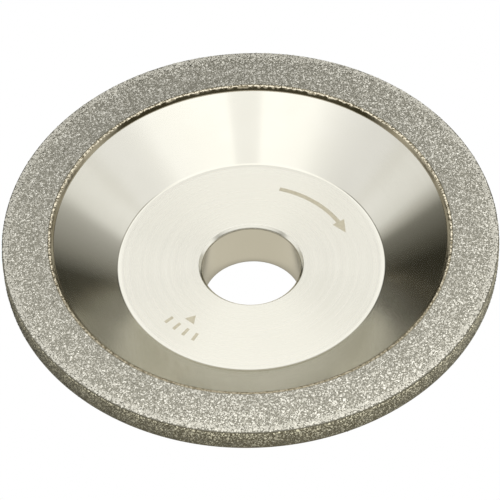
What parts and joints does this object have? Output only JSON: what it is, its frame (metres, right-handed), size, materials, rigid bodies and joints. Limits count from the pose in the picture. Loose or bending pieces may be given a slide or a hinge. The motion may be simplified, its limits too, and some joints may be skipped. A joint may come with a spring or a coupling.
{
  "type": "diamond grinding wheel",
  "caption": "Dish-shaped plated diamond grinding wheel with a gritty annular face and periphery, a polished conical recess, a flat hub and a plain central bore.",
  "frame": {"origin": "centre of the bore in the back seat face", "axes": "+Z along the bore axis, out of the grinding face; the wheel is round, so +X and +Y only fix the laser-marked direction arrow"},
  "size_m": [0.1, 0.1, 0.022],
  "materials": {
    "turned_steel": "finely turned and polished",
    "plated_nickel": "satin electroplate, warm grey",
    "face_grit": "sharp diamond grains half sunk in nickel, pale silver grey",
    "rim_grit": "sharp diamond grains half sunk in nickel, darker olive grey"
  },
  "bodies": {
    "root": {"wheel_core": "turned_steel", "nickel_bond": "plated_nickel", "face_diamond_grit": "face_grit", "rim_diamond_grit": "rim_grit"}
  },
  "joints": []
}
